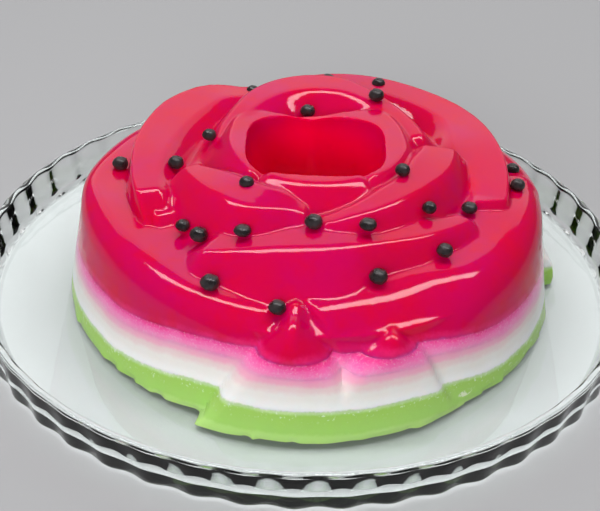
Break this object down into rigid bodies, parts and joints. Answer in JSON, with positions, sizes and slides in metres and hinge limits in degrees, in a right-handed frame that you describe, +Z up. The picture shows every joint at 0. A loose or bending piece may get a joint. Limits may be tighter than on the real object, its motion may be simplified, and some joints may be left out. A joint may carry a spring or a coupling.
{
  "type": "moulded jelly on a glass plate",
  "caption": "Rose-shaped ring jelly in red, pink, white and green layers, dotted with small dark round sweets, on a fluted clear glass plate.",
  "frame": {"origin": "centre of the plate's underside, where it stands", "axes": "+Z up from the table through the plate; -Y towards the side that is mostly looked at; +X to its right"},
  "size_m": [0.2988, 0.2988, 0.0856],
  "materials": {
    "glass": "clear pressed glass, faintly green, smooth and shiny",
    "green_jelly": "cloudy yellow-green set jelly, smooth, with small pale bubbles at its top",
    "white_jelly": "milky white set jelly, smooth, turning beige-pink upwards",
    "pink_jelly": "cloudy pink set jelly, fine-grained",
    "red_jelly": "clear deep crimson set jelly with a wet gloss",
    "sweet": "nearly black sugar shell, uneven, with a dull shine"
  },
  "bodies": {
    "root": {"plate": "glass", "green_layer": "green_jelly", "white_layer": "white_jelly", "pink_layer": "pink_jelly", "red_layer": "red_jelly", "sweet_01": "sweet", "sweet_02": "sweet", "sweet_03": "sweet", "sweet_04": "sweet", "sweet_05": "sweet", "sweet_06": "sweet", "sweet_07": "sweet", "sweet_08": "sweet", "sweet_09": "sweet", "sweet_10": "sweet", "sweet_11": "sweet", "sweet_12": "sweet", "sweet_13": "sweet", "sweet_14": "sweet", "sweet_15": "sweet", "sweet_16": "sweet", "sweet_17": "sweet", "sweet_18": "sweet", "sweet_19": "sweet", "sweet_20": "sweet", "sweet_21": "sweet", "sweet_22": "sweet", "sweet_23": "sweet"}
  },
  "joints": []
}
